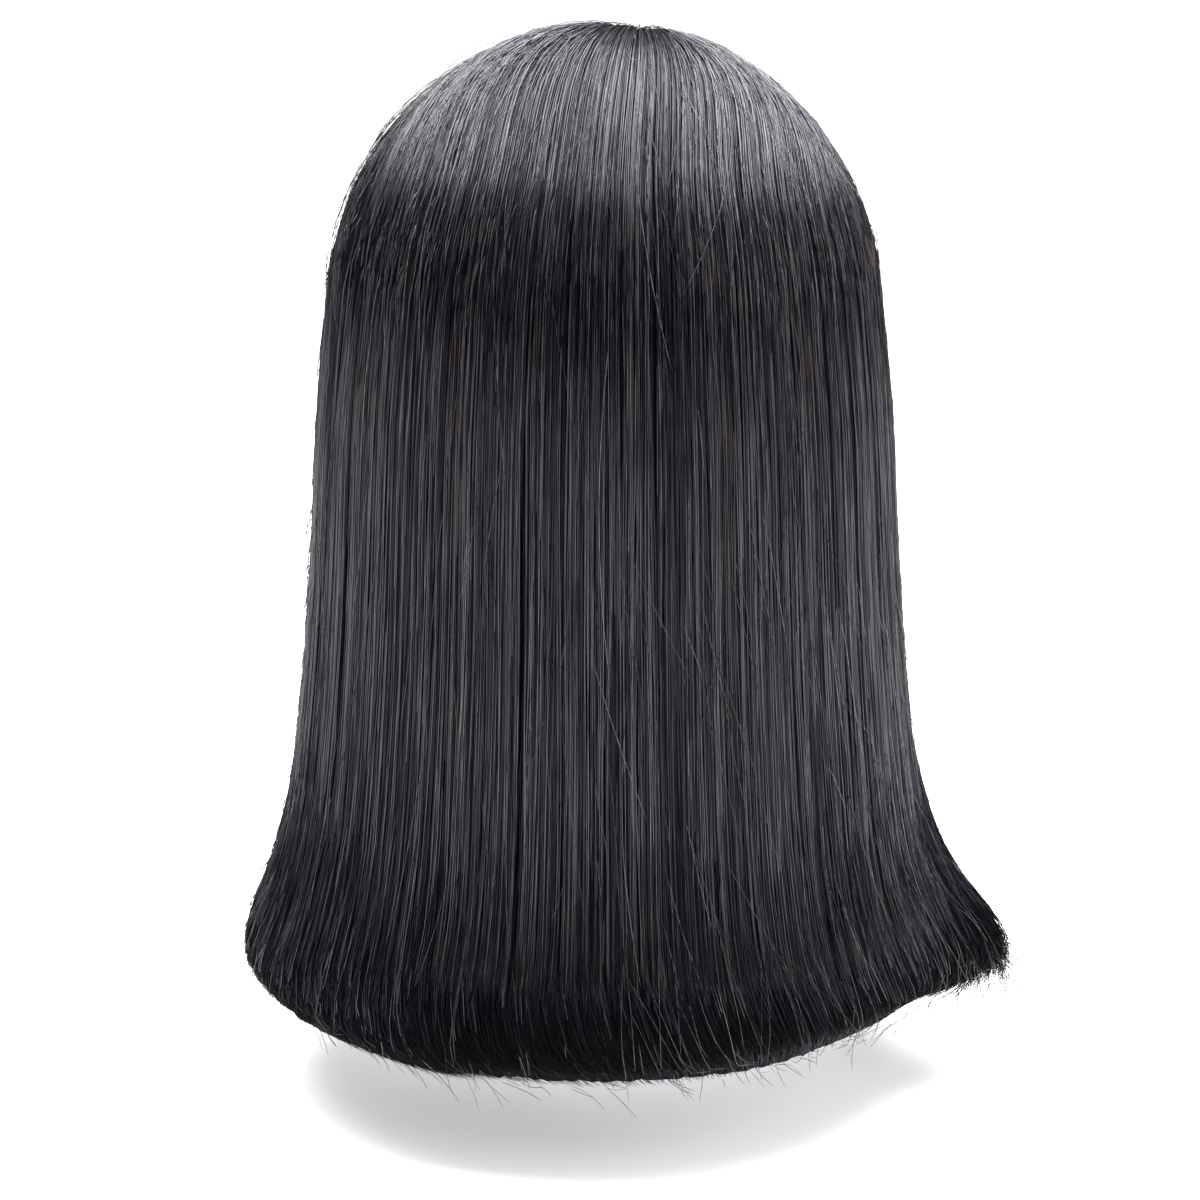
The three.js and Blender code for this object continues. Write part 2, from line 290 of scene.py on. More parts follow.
def over_head(points, height):
    """Points at a height over the head, on lines from the middle of the head."""
    ray = points + (0, 0, HEAD_CROWN_HEIGHT)
    depth = np.where(ray[..., 2] < 0, HEAD_LOWER_HEIGHT, HEAD_CROWN_HEIGHT) + height
    reach = np.sqrt(
        (ray[..., 0] / (HEAD_HALF_WIDTH + height)) ** 2
        + (ray[..., 1] / (HEAD_HALF_LENGTH + height)) ** 2
        + (ray[..., 2] / depth) ** 2
    )
    return ray / reach[..., None] - (0, 0, HEAD_CROWN_HEIGHT)


def crown_points(azimuth):
    """Outside and inside of the hair over the crown, from the root down."""
    turn = np.radians(azimuth)
    root_turn = np.radians(np.clip(azimuth, -90, 90))
    along = np.maximum(0, (np.abs(azimuth) - 90) / (FRONT_AZIMUTH - 90))
    root = np.stack([
        PARTING_WIDTH / 2 * np.sin(root_turn) - PARTING_OFFSET,
        PARTING_WIDTH / 2 * np.cos(root_turn) - PARTING_BACK - along * PARTING_LENGTH,
    ], -1)
    reach = np.where(np.abs(azimuth) < 90, BACK_REACH, FRONT_REACH)
    foot = np.stack([HALF_WIDTH * np.sin(turn), reach * np.cos(turn)], -1)
    share = np.sin(np.linspace(0, np.pi / 2, CROWN_STEPS))[:, None]
    plan = lerp(root[:, None], foot[:, None], share)
    length = np.where(plan[..., 1] > 0, BACK_REACH, FRONT_REACH)
    fall = 1 - (plan[..., 0] / HALF_WIDTH) ** 2 - (plan[..., 1] / length) ** 2
    height = CROWN_HEIGHT * np.sqrt(np.maximum(0, fall)) - WIDEST_DROP
    outside = np.concatenate([plan, height[..., None]], -1)
    return outside, over_head(outside, CAP_COVER)


def inner_reach(azimuth, fall, width, length):
    """Half width and half length of the hair's inside, over the cap and down to the tips."""
    edge = cap_edge_drop(azimuth)[:, None]
    below = np.minimum(fall, edge) - HEAD_CROWN_HEIGHT
    height = np.where(below > 0, HEAD_LOWER_HEIGHT, HEAD_CROWN_HEIGHT) + CAP_COVER
    over_cap = np.sqrt(1 - (below / height) ** 2)
    loose = eased(fall, edge, HAIR_DROP)
    inner_width = lerp((HEAD_HALF_WIDTH + CAP_COVER) * over_cap, width - TIP_THICKNESS, loose)
    inner_length = lerp((HEAD_HALF_LENGTH + CAP_COVER) * over_cap, length - TIP_THICKNESS, loose)
    return inner_width, inner_length


def curtain_points(azimuth, turned_under):
    """Outside and inside of the hanging hair, from below the crown to past the tips."""
    turn = np.radians(azimuth)[:, None]
    drop = np.linspace(0, SHARE_END, CURTAIN_STEPS)[1:]
    fall = lerp(WIDEST_DROP, HAIR_DROP, drop)
    flare = curve(drop, CURTAIN, 1)
    flick = flick_at(azimuth)[:, None]
    sideways = FLICK_REACH * flick * eased(drop, FLICK_START, 1)
    rise = FLICK_RISE * flick * eased(drop, FLICK_RISE_START, 1)
    back = (np.abs(azimuth) < 90)[:, None]
    width = HALF_WIDTH + flare * FLARE_SIDE
    length = np.where(back, BACK_REACH + flare * FLARE_BACK, FRONT_REACH + flare * FLARE_FRONT)
    reach = (tuck_reach(azimuth) * (1 - flick_at(azimuth)))[:, None]
    tuck = turned_under * curve(drop, CURTAIN, 2) * reach
    gather_y = GATHER[1] * np.maximum(0, np.cos(turn))

    def ring(half_width, half_length):
        x = (half_width + sideways) * np.sin(turn)
        y = half_length * np.cos(turn)
        gather = np.stack([GATHER[0] - x, gather_y - y], -1)
        gather /= np.linalg.norm(gather, axis=-1, keepdims=True)
        return np.stack([x + tuck * gather[..., 0], y + tuck * gather[..., 1], rise - fall], -1)

    return ring(width, length), ring(*inner_reach(azimuth, fall, width, length))


class Surface:
    """Hair's outside and inside as grids over azimuth and share of the length, root 0 and tip 1."""

    def __init__(self, turned_under):
        self.azimuth = np.linspace(-FRONT_AZIMUTH, FRONT_AZIMUTH, AZIMUTH_STEPS)
        crown_out, crown_in = crown_points(self.azimuth)
        hang_out, hang_in = curtain_points(self.azimuth, turned_under)
        outside = np.concatenate([crown_out, hang_out], 1)
        inside = np.concatenate([crown_in, hang_in], 1)
        steps = np.linalg.norm(np.diff(outside, axis=1), axis=-1)
        arc = np.concatenate([np.zeros((len(outside), 1)), np.cumsum(steps, 1)], 1)
        tip = [np.interp(HAIR_DROP - FLICK_RISE, -row[:, 2], a) for row, a in zip(outside, arc)]
        self.length = np.array(tip)
        self.share = np.linspace(0, SHARE_END, SHARE_STEPS)
        self.outside = self.spread(outside, arc)
        self.inside = self.spread(inside, arc)
        across = np.gradient(self.outside, axis=0)
        down = np.gradient(self.outside, axis=1)
        normal = np.cross(across, down)
        self.normal = normal / np.maximum(1e-9, np.linalg.norm(normal, axis=-1, keepdims=True))
        step = self.azimuth[1] - self.azimuth[0]
        self.width = np.linalg.norm(across, axis=-1) / step

    def spread(self, grid, arc):
        """Grid at even shares of each azimuth's length."""
        rows = []
        for points, at, length in zip(grid, arc, self.length):
            columns = [np.interp(self.share * length, at, points[:, k]) for k in range(3)]
            rows.append(np.stack(columns, -1))
        return np.array(rows)

    def read(self, grid, azimuth, share):
        """Values of a grid at azimuths and shares between its own."""
        a = np.interp(azimuth, self.azimuth, np.arange(AZIMUTH_STEPS))
        s = np.interp(share, self.share, np.arange(SHARE_STEPS))
        i = np.minimum(a.astype(int), AZIMUTH_STEPS - 2)
        j = np.minimum(s.astype(int), SHARE_STEPS - 2)
        u, v = (a - i)[..., None], (s - j)[..., None]
        if grid.ndim == 2:
            grid = grid[..., None]
        low = lerp(grid[i, j], grid[i + 1, j], u)
        high = lerp(grid[i, j + 1], grid[i + 1, j + 1], u)
        return lerp(low, high, v)


# The form that hangs straight, and the one whose ends turn under
straight = Surface(0)
tucked = Surface(1)


def overhang(azimuth):
    """Share of the azimuth's hair that belongs to the straight top layer, up to 1."""
    start = eased(azimuth, OVERHANG_FROM - OVERHANG_FADE, OVERHANG_FROM)
    return start * (1 - eased(azimuth, OVERHANG_TO, OVERHANG_TO + OVERHANG_FADE))


def sweeping(azimuth):
    """Share of the sideways sweep that the ends at an azimuth have, up to 1."""
    start = eased(azimuth, SWEEP_FROM - SWEEP_FADES[0], SWEEP_FROM)
    return start * (1 - eased(azimuth, SWEEP_TO, SWEEP_TO + SWEEP_FADES[1]))


def read_form(azimuth, share, weight):
    """Outside points and normals, from the straight form at weight 0 to the one turned under at 1."""
    hanging = straight.read(straight.outside, azimuth, share)
    turned = tucked.read(tucked.outside, azimuth, share)
    hanging_normal = straight.read(straight.normal, azimuth, share)
    turned_normal = tucked.read(tucked.normal, azimuth, share)
    normal = lerp(hanging_normal, turned_normal, weight)
    return lerp(hanging, turned, weight), normal / np.linalg.norm(normal, axis=-1, keepdims=True)


def waves(rng, count, share, terms=3):
    """Slow random curves along the strands, one row each, of about unit size."""
    total = np.zeros((count, share.shape[-1]))
    for term in range(terms):
        size = rng.normal(0, 1, (count, 1)) / (term + 1)
        phase = rng.uniform(0, 2 * np.pi, (count, 1))
        rate = rng.uniform(0.6, 1.4, (count, 1)) * (term + 1)
        total += size * np.sin(2 * np.pi * rate * share + phase)
    return total


def ring_shares(rng, start, end):
    """Shares at a strand's rings, closer together over the crown and where the ends turn under."""
    share = np.linspace(0, SHARE_END, 400)
    density = 1.5 + 1.8 * (1 - eased(share, 0.2, 0.38)) + 2.6 * eased(share, 0.86, 0.93)
    density += 5 * (1 - eased(share, 0, 0.12))
    total = np.concatenate([[0], np.cumsum((density[1:] + density[:-1]) / 2)])
    low, high = np.interp(start, share, total), np.interp(end, share, total)
    steps = np.linspace(0, 1, STRAND_RINGS)
    steps = steps + rng.uniform(-1, 1, (len(start), 1)) * RING_JITTER * steps * (1 - steps)
    return np.interp(lerp(low[:, None], high[:, None], steps), total, share)


def start_shares(rng, azimuth):
    """Share at which each strand starts, with the width of a degree where all of them have.

    Fewer start at the parting, so that the hair is as dense over the crown as below it.
    """
    count = len(azimuth)
    shares = tucked.share[: int(FULL_SHARE / SHARE_END * SHARE_STEPS)]
    places = np.broadcast_to(shares, (count, len(shares)))
    width = tucked.read(tucked.width, azimuth[:, None], places)[..., 0]
    full = tucked.read(tucked.width, azimuth, np.full(count, FULL_SHARE))
    begun = np.maximum.accumulate(width / full, 1) >= rng.uniform(0, 1, (count, 1))
    return shares[np.where(begun.any(1), begun.argmax(1), len(shares) - 1)], full


def spread_out(rng, low, high, count):
    """Azimuths from low to high, one at random in each of count even steps."""
    return lerp(low, high, (np.arange(count) + rng.uniform(0, 1, count)) / count)


def end_shares(rng, on_top, length):
    """Share at which each strand ends, a little ragged, and higher up in the top layer."""
    count = len(on_top)
    missed = rng.uniform(0, 1, count) < MISSED_SHARE
    cut = np.where(missed, rng.uniform(*MISSED_CUT, count), rng.normal(*ENDS_CUT, count))
    cut = np.where(on_top, HAIR_DROP - OVERHANG_END + rng.normal(0, TOP_CUT_SPREAD, count), cut)
    return np.clip(1 - cut / length, FIRST_END, SHARE_END)


def make_clumps(rng, low, high, azimuth, width):
    """Middles of the clumps between two azimuths, and the clump that each strand belongs to."""
    count = int((high - low) * width.mean() / CLUMP_WIDTH)
    middles = np.sort(rng.uniform(low - 1, high + 1, count))
    return middles, np.abs(azimuth[:, None] - middles[None]).argmin(1)


def drift(rng, clumps, share, sizes):
    """Slow random curves that a clump's strands have in common, and each strand's own."""
    middles, clump = clumps
    common = waves(rng, len(middles), share[:1])[clump] * sizes[0]
    return common + waves(rng, len(clump), share) * sizes[1]


def strand_azimuths(rng, azimuth, share, clumps, width, on_top):
    """Azimuths along the strands, which gather in clumps and sweep sideways where they turn under."""
    middles, clump = clumps
    grip = CLUMP_GRIP + CLUMP_GRIP_DRIFT * waves(rng, len(middles), share[:1] * 1.6)
    hold = np.clip(grip, 0, CLUMP_GRIP_MOST)[clump] * eased(share, 0.03, 0.5)
    sideways = drift(rng, clumps, share, SIDE_DRIFT) / width
    path = lerp(azimuth[:, None], middles[clump][:, None], hold) + sideways * eased(share, 0.05, 0.5)
    spread = CROWN_SPREAD * azimuth * (1 - eased(np.abs(azimuth), 40, 110))
    path = path + spread[:, None] * (1 - eased(share, 0.03, 0.3))
    sweep = np.where(on_top, 0, UNDER_SWEEP * sweeping(azimuth))[:, None]
    path = path - sweep * eased(share, SWEEP_START, SHARE_END)
    return np.clip(path, -FRONT_AZIMUTH, FRONT_AZIMUTH)


def strand_depths(rng, kinds, azimuth, share, length, clumps, on_top):
    """Depths of the strands below the outside. Late starters come up from under the layer."""
    depths = np.array([kind[2:4] for kind in KINDS])[kinds]
    layer = lerp(depths[:, :1], depths[:, 1:], rng.uniform(0, 1, (len(kinds), 1)))
    depth = layer + drift(rng, clumps, share, DEPTH_DRIFT)
    start = share[:, :1]
    late = start > 0.01
    depth = depth + late * (1 - eased((share - start) * length, 0, 12)) * (LAYER_DEPTH - layer)
    under = np.where(on_top, 0, overhang(azimuth))[:, None]
    depth = depth + under * UNDER_DEPTH * eased(share, *UNDER_TURN)
    arc = share * length
    return depth - CROWN_LIFT * eased(arc, *CROWN_RISE) * (1 - eased(arc, *CROWN_FALL))


def splay_flick(rng, points, azimuth, share):
    """Moves the flick's single ends out and up, each by its own amount."""
    loose = flick_at(azimuth)[:, None] * eased(share, *FLICK_LOOSE)
    points[..., 0] -= loose * rng.uniform(*FLICK_SPLAY, (len(points), 1))
    points[..., 2] += loose * rng.uniform(*FLICK_RAISE, (len(points), 1))


def outer_strands(rng, low, high, kinds):
    """Middle lines of strands that fill the layer under the outside, with their normals and looks."""
    count = len(kinds)
    azimuth = spread_out(rng, low, high, count)
    start, width = start_shares(rng, azimuth)
    length = np.interp(azimuth, tucked.azimuth, tucked.length)
    on_top = rng.uniform(0, 1, count) < overhang(azimuth) * OVERHANG_SHARE
    share = ring_shares(rng, start, end_shares(rng, on_top, length))
    length = length[:, None]
    clumps = make_clumps(rng, low, high, azimuth, width)
    path = strand_azimuths(rng, azimuth, share, clumps, width, on_top)
    depth = strand_depths(rng, kinds, azimuth, share, length, clumps, on_top)
    weight = np.where(on_top, rng.uniform(*TOP_TUCK, count), rng.normal(*UNDER_TUCK, count))
    points, normal = read_form(path, share, weight[:, None, None])
    points = points - normal * depth[..., None]
    splay_flick(rng, points, azimuth, share)
    looks = looks_along(rng, kinds, share, on_top, overhang(azimuth))
    return to_parting(rng, points, share * length, azimuth), normal, looks


def looks_along(rng, kinds, share, on_top, hidden):
    """Kind at each ring: hair turns to a darker, duller kind on its way down, and the ends that turn
    under to a dark, matt one; both are painted shade.
    """
    count = len(kinds)
    # some strands turn darker and duller lower down: painted shade
    shaded_down = rng.uniform(0, 1, count) < np.where(on_top, SHADE_DOWN_ON_TOP, SHADE_DOWN)
    shaded_from = np.where(shaded_down, rng.uniform(SHADE_DOWN_FROM, SHADE_DOWN_TO, count), SHARE_END)
    shaded_kinds = np.array([KIND_NAMES.index(SHADED_KIND[name]) for name in KIND_NAMES])
    looks = np.where(share > shaded_from[:, None], shaded_kinds[kinds][:, None], kinds[:, None])
    # ends that turn under are painted dark and matt: painted shade
    turns_shaded = ~on_top & (rng.uniform(0, 1, count) < lerp(CORNER_SHADED, UNDER_SHADED, hidden))
    start = UNDER_START + rng.normal(0, 1, count) * lerp(0.03, 0.008, hidden)
    under_shade_from = np.where(turns_shaded, start, SHARE_END)
    return np.where(share > under_shade_from[:, None], KIND_NAMES.index("under_shade"), looks)


def to_parting(rng, points, arc, azimuth):
    """Points near the roots drawn in towards the parting's middle and down to the lace."""
    reach = lerp(ROOT_REACH_BACK, ROOT_REACH, eased(np.abs(azimuth), 30, 90))[:, None]
    reach = reach * rng.uniform(0.8, 1.6, reach.shape)
    near = (1 - eased(arc, 0, reach))[..., None]
    root = points[:, :1].copy()
    axis = np.stack([
        np.full_like(root[..., 0], -PARTING_OFFSET),
        np.clip(root[..., 1], -PARTING_BACK - PARTING_LENGTH, -PARTING_BACK),
    ], -1)
    away = root[..., :2] - axis
    away /= np.maximum(1e-6, np.linalg.norm(away, axis=-1, keepdims=True))
    root[..., :2] = axis + away * rng.uniform(ROOT_FROM, ROOT_TO, (len(points), 1, 1))
    return lerp(points, over_head(root, LACE_HEIGHT), near)


def inner_strands(rng, low, high, kinds):
    """Middle lines of strands on the inside of the hanging hair, with normals that face inwards."""
    surface = tucked
    count = len(kinds)
    azimuth = spread_out(rng, low, high, count)
    edge = np.interp(azimuth, surface.azimuth, np.arange(AZIMUTH_STEPS)).astype(int)
    heights = -surface.inside[edge][:, :, 2]
    below = heights >= (cap_edge_drop(azimuth) - 6)[:, None]
    start = surface.share[below.argmax(1)] + rng.uniform(0, 0.1, count)
    end = 1 - rng.uniform(0, 3.5, count) / np.interp(azimuth, surface.azimuth, surface.length)
    share = ring_shares(rng, start, end)
    path = np.clip(azimuth[:, None] + waves(rng, count, share) * 0.25, -FRONT_AZIMUTH, FRONT_AZIMUTH)
    normal = -surface.read(surface.normal, path, share)
    sunk = 1 - eased(share, start[:, None], start[:, None] + 0.04)
    depth = rng.uniform(0.1, 0.9, (count, 1)) + 1.5 * sunk
    points = surface.read(surface.inside, path, share) - normal * depth[..., None]
    return points, normal, np.broadcast_to(kinds[:, None], share.shape)


def stray_strands(rng, how, count, azimuths, shares, lengths, lean, lifts):
    """Middle lines of loose hairs that lie across the outside, bow off it or leave it."""
    azimuth = rng.uniform(*azimuths, (count, 1))
    start = rng.uniform(*shares, (count, 1))
    length = np.interp(azimuth, straight.azimuth, straight.length)
    reach = rng.uniform(*lengths, (count, 1))
    steps = np.linspace(0, 1, STRAY_RINGS)[None]
    share = np.minimum(start + steps * reach / length, 0.97)
    width = straight.read(straight.width, azimuth, np.clip(start, 0.2, 0.9))[..., 0]
    angle = np.radians(rng.normal(*lean, (count, 1)))
    bend = rng.normal(0, 0.06, (count, 1)) * reach
    sideways = np.tan(angle) * reach * steps + bend * steps * (1 - steps)
    path = np.clip(azimuth + sideways / width, -FRONT_AZIMUTH, FRONT_AZIMUTH)
    lift = rng.uniform(*lifts, (count, 1))
    if how == "bowed":
        height = lift * np.sin(np.pi * steps) ** 0.8 - 0.3
    elif how == "leaving":
        height = lift * steps ** 1.6 - 0.5
    else:
        height = lift * eased(steps, 0, 0.3) - 0.6 * (1 - eased(steps, 0, 0.2))
    points, normal = read_form(path, share, rng.uniform(0, 1, (count, 1, 1)))
    return points + normal * height[..., None], normal


def wisp_strands(rng, count, azimuths, lengths, turn):
    """Middle lines of thin ends that reach past the hem."""
    azimuth = rng.uniform(*azimuths, (count, 1))
    share = rng.uniform(0.94, 0.995, (count, 1))
    ahead, normal = read_form(azimuth, share + 0.01, 1)
    base, _ = read_form(azimuth, share, 1)
    down = ahead - base
    down /= np.linalg.norm(down, axis=-1, keepdims=True)
    side = np.cross(down, normal)
    step = rng.uniform(*lengths, (count, 1)) / (STRAY_RINGS - 1)
    bend = np.radians(rng.normal(turn, 25, (count, 1)))
    sway = np.radians(rng.normal(-24 * sweeping(azimuth), 20, (count, 1)))
    at = np.linspace(0, 1, STRAY_RINGS)[None]
    out_angle, side_angle = bend * at ** 1.3, sway * (0.4 + 0.6 * at)
    heading = (
        down * (np.cos(out_angle) * np.cos(side_angle))[..., None]
        + normal * np.sin(out_angle)[..., None]
        + side * (np.sin(side_angle) * np.cos(out_angle))[..., None]
    )
    travelled = np.cumsum(heading * step[..., None], axis=1)
    points = base - normal * rng.uniform(0.2, 2, (count, 1, 1)) + travelled
    return points, np.broadcast_to(normal, points.shape)


def tube_vertices(points, normal, radius):
    """Corners of three-sided tubes round the middle lines, ring by ring, and the point of each."""
    count, rings = points.shape[:2]
    tangent = np.gradient(points, axis=1)
    tangent /= np.linalg.norm(tangent, axis=-1, keepdims=True)
    side = np.cross(tangent, normal)
    side /= np.linalg.norm(side, axis=-1, keepdims=True)
    out = np.cross(side, tangent)
    taper = np.interp(np.linspace(0, 1, rings), [0, 0.08, 0.8, 1], [0.7, 1, 1, 0.35])
    size = (radius[:, None] * taper)[..., None]
    corners = []
    for turn in np.radians([0, 120, 240]):
        corners.append(points + size * (np.cos(turn) * out + np.sin(turn) * side))
    body = np.stack(corners, 2)[:, :-1].reshape(count, -1, 3)
    return np.concatenate([body, points[:, -1:]], 1)


def tube_faces(rings):
    """Quads and triangles of one closed tube that ends in a point, and their flat map."""
    ring, corner = np.meshgrid(np.arange(rings - 2), np.arange(3), indexing="ij")
    ring, corner = ring.ravel(), corner.ravel()
    following = (corner + 1) % 3
    quads = np.stack([
        ring * 3 + corner, ring * 3 + following, (ring + 1) * 3 + following, (ring + 1) * 3 + corner,
    ], -1)
    last, point = (rings - 2) * 3, (rings - 1) * 3
    triangles = np.array([(last + k, last + (k + 1) % 3, point) for k in range(3)] + [(2, 1, 0)])
    u = np.stack([corner, corner + 1, corner + 1, corner], -1) / 3
    v = np.stack([ring, ring, ring + 1, ring + 1], -1) / (rings - 1)
    tip_v = (rings - 2) / (rings - 1)
    tips = [[(k / 3, tip_v), ((k + 1) / 3, tip_v), ((k + 0.5) / 3, 1)] for k in range(3)]
    root = [(0, 0), (0.3, 0), (0.15, 0.02)]
    flat_map = np.concatenate([np.stack([u, v], -1).reshape(-1, 2), np.reshape(tips, (-1, 2)), root])
    return quads, triangles, flat_map


def strand_mesh(name, points, normal, radius, shade, looks):
    """Closed three-sided tubes round the middle lines, joined in one mesh."""
    count, rings = points.shape[:2]
    vertices = tube_vertices(points, normal, radius)
    per_strand = vertices.shape[1]
    quads, triangles, flat_map = tube_faces(rings)
    base = (np.arange(count) * per_strand)[:, None, None]
    loops = np.concatenate([
        (quads[None] + base).reshape(count, -1), (triangles[None] + base).reshape(count, -1),
    ], 1)
    sizes = np.tile([4] * len(quads) + [3] * len(triangles), count)
    cells = math.ceil(math.sqrt(count))
    cell = np.stack([np.arange(count) % cells, np.arange(count) // cells], -1)[:, None]
    uv = (cell + 0.05 + 0.9 * flat_map[None]) / cells
    along = np.append(np.repeat(np.linspace(0, 1, rings)[:-1], 3), 1)
    values = {"shade": np.repeat(shade, per_strand), "along": np.tile(along, count)}
    piece = make_mesh(name, vertices.reshape(-1, 3), loops.ravel(), sizes, uv.reshape(-1, 2), values)
    slots = np.concatenate([np.repeat(looks[:, :-1], 3, 1), looks[:, :1]], 1)
    piece.data.polygons.foreach_set("material_index", slots.ravel().astype(np.int32))
    return piece


def make_mesh(name, vertices, loops, sizes, uv, values):
    """Smooth mesh object from arrays, with a bake map and point values."""
    mesh = bpy.data.meshes.new(name)
    mesh.vertices.add(len(vertices))
    mesh.vertices.foreach_set("co", (vertices * MM).astype(np.float32).ravel())
    mesh.loops.add(len(loops))
    mesh.loops.foreach_set("vertex_index", loops.astype(np.int32))
    mesh.polygons.add(len(sizes))
    starts = np.concatenate([[0], np.cumsum(sizes)[:-1]])
    mesh.polygons.foreach_set("loop_start", starts.astype(np.int32))
    mesh.polygons.foreach_set("use_smooth", np.ones(len(sizes), bool))
    layer = mesh.uv_layers.new(name="OFBake")
    layer.data.foreach_set("uv", uv.astype(np.float32).ravel())
    for key, value in values.items():
        mesh.attributes.new(key, "FLOAT", "POINT").data.foreach_set("value", value.astype(np.float32))
    mesh.update(calc_edges=True)
    mesh.validate()
    piece = bpy.data.objects.new(name, mesh)
    bpy.context.scene.collection.objects.link(piece)
    return piece


def panel_strands(node, low, high, count, index):
    """Strands of one panel, outside and inside."""
    rng = np.random.default_rng(SEED + index)
    inner = int(count * INNER_SHARE)
    kinds = rng.choice(len(KINDS), count, p=[kind[1] for kind in KINDS])
    kinds[count - inner:] = rng.choice(len(INNER_KINDS), inner, p=INNER_KINDS)
    parts = [
        outer_strands(rng, low, high, kinds[: count - inner]),
        inner_strands(rng, low, high, kinds[count - inner:]),
    ]
    points, normal, looks = (np.concatenate(part) for part in zip(*parts))
    radius = np.array([kind[4] for kind in KINDS])[kinds] * rng.uniform(0.8, 1.25, count)
    return strand_mesh(node + "_strands", points, normal, radius, rng.uniform(0, 1, count), looks)


def stray_hairs():
    """Loose hairs over the whole wig and thin ends past its hem."""
    rng = np.random.default_rng(SEED + len(PANELS))
    parts = [stray_strands(rng, *row) for row in STRAYS] + [wisp_strands(rng, *row) for row in WISPS]
    points, normal = (np.concatenate(part) for part in zip(*parts))
    count = len(points)
    choices = [KIND_NAMES.index(name) for name in STRAY_KINDS]
    kinds = rng.choice(choices, count, p=list(STRAY_KINDS.values()))
    radius = STRAY_RADIUS * rng.uniform(0.7, 1.2, count)
    looks = np.broadcast_to(kinds[:, None], points.shape[:2])
    return strand_mesh("stray_hairs", points, normal, radius, rng.uniform(0, 1, count), looks)


def wall_faces(columns, rows):
    """Quads of a closed wall: its outside, its inside and its four edges."""
    outer = np.arange(columns * rows).reshape(columns, rows)
    inner = outer + columns * rows

    def strip(a, b, c, d):
        return np.stack([a, b, c, d], -1).reshape(-1, 4)

    return np.concatenate([
        strip(outer[:-1, :-1], outer[:-1, 1:], outer[1:, 1:], outer[1:, :-1]),
        strip(inner[:-1, :-1], inner[1:, :-1], inner[1:, 1:], inner[:-1, 1:]),
        strip(outer[:-1, 0], outer[1:, 0], inner[1:, 0], inner[:-1, 0]),
        strip(outer[1:, -1], outer[:-1, -1], inner[:-1, -1], inner[1:, -1]),
        strip(outer[0, 1:], outer[0, :-1], inner[0, :-1], inner[0, 1:]),
        strip(outer[-1, :-1], outer[-1, 1:], inner[-1, 1:], inner[-1, :-1]),
    ])


def hair_core():
    """Closed dark wall under the strands, from the parting to just above the tips."""
    surface = tucked
    rng = np.random.default_rng(SEED)
    edge = FRONT_AZIMUTH - CORE_EDGE
    azimuth = np.linspace(-edge, edge, CORE_COLUMNS)[:, None]
    share = (np.linspace(0, 1, CORE_ROWS) ** 1.15 * CORE_LENGTH + CORE_START)[None]
    azimuth, share = np.broadcast_arrays(azimuth, share)
    ridge = rng.normal(0, CORE_RIDGE, (CORE_COLUMNS, 1)) * eased(share, 0.05, 0.3)
    normal = surface.read(surface.normal, azimuth, share)
    arc = share * np.interp(azimuth, surface.azimuth, surface.length)
    depth = LAYER_DEPTH + ridge + overhang(azimuth) * UNDER_DEPTH * eased(share, *CORE_TURN)
    depth = depth + PARTING_DIP * (1 - eased(arc, 0, PARTING_DIP_LENGTH))
    outside = surface.read(surface.outside, azimuth, share) - normal * depth[..., None]
    inner_ridge = rng.normal(0, CORE_INNER_RIDGE, (CORE_COLUMNS, 1)) * eased(share, 0.3, 0.5)
    inside = surface.read(surface.inside, azimuth, share) + normal * (0.8 + inner_ridge)[..., None]
    vertices = np.concatenate([outside.reshape(-1, 3), inside.reshape(-1, 3)])
    faces = wall_faces(CORE_COLUMNS, CORE_ROWS)
    across = (azimuth / FRONT_AZIMUTH + 1) / 4
    map_points = np.concatenate([
        np.stack([across, share], -1).reshape(-1, 2),
        np.stack([across + 0.5, share], -1).reshape(-1, 2),
    ])
    values = {"along": np.tile(share.ravel(), 2), "shade": np.tile(azimuth.ravel() / 360 + 0.5, 2)}
    sizes = np.full(len(faces), 4)
    return make_mesh("hair_core", vertices, faces.ravel(), sizes, map_points[faces.ravel()], values)


def material(name):
    """New node material and its shader."""
    made = bpy.data.materials.new(name)
    made.use_nodes = True
    return made, made.node_tree, made.node_tree.nodes["Principled BSDF"]


def add(tree, kind, **settings):
    """New node in a node tree."""
    node = tree.nodes.new("ShaderNode" + kind)
    for key, value in settings.items():
        setattr(node, key, value)
    return node


def colour_ramp(tree, stops):
    """New ramp through colours, each at its place."""
    ramp = add(tree, "ValToRGB")
    elements = ramp.color_ramp.elements
    while len(elements) < len(stops):
        elements.new(1)
    for element, (at, colour) in zip(elements, stops):
        element.position = at
        element.color = (*colour, 1)
    return ramp


def ranged(tree, value, start, low, high):
    """A value from start to 1, turned into one from low to high."""
    node = add(tree, "MapRange")
    node.inputs["From Min"].default_value = start
    node.inputs["To Min"].default_value = low
    node.inputs["To Max"].default_value = high
    tree.links.new(value, node.inputs["Value"])
    return node.outputs["Result"]


def drifting_tone(tree, shade, along, darker, lighter):
    """Colour that drifts between two tones along a strand and differs from strand to strand."""
    place = add(tree, "CombineXYZ")
    for axis, value, scale in (("X", shade, TONE_APART), ("Y", along, TONE_STRETCH)):
        scaled = add(tree, "Math", operation="MULTIPLY")
        scaled.inputs[1].default_value = scale
        tree.links.new(value, scaled.inputs[0])
        tree.links.new(scaled.outputs["Value"], place.inputs[axis])
    noise = add(tree, "TexNoise", noise_dimensions="2D")
    noise.inputs["Scale"].default_value = 1
    tree.links.new(place.outputs["Vector"], noise.inputs["Vector"])
    tones = colour_ramp(tree, list(zip(TONE_STOPS, (darker, lighter))))
    tree.links.new(noise.outputs["Fac"], tones.inputs["Fac"])
    return tones.outputs["Color"]


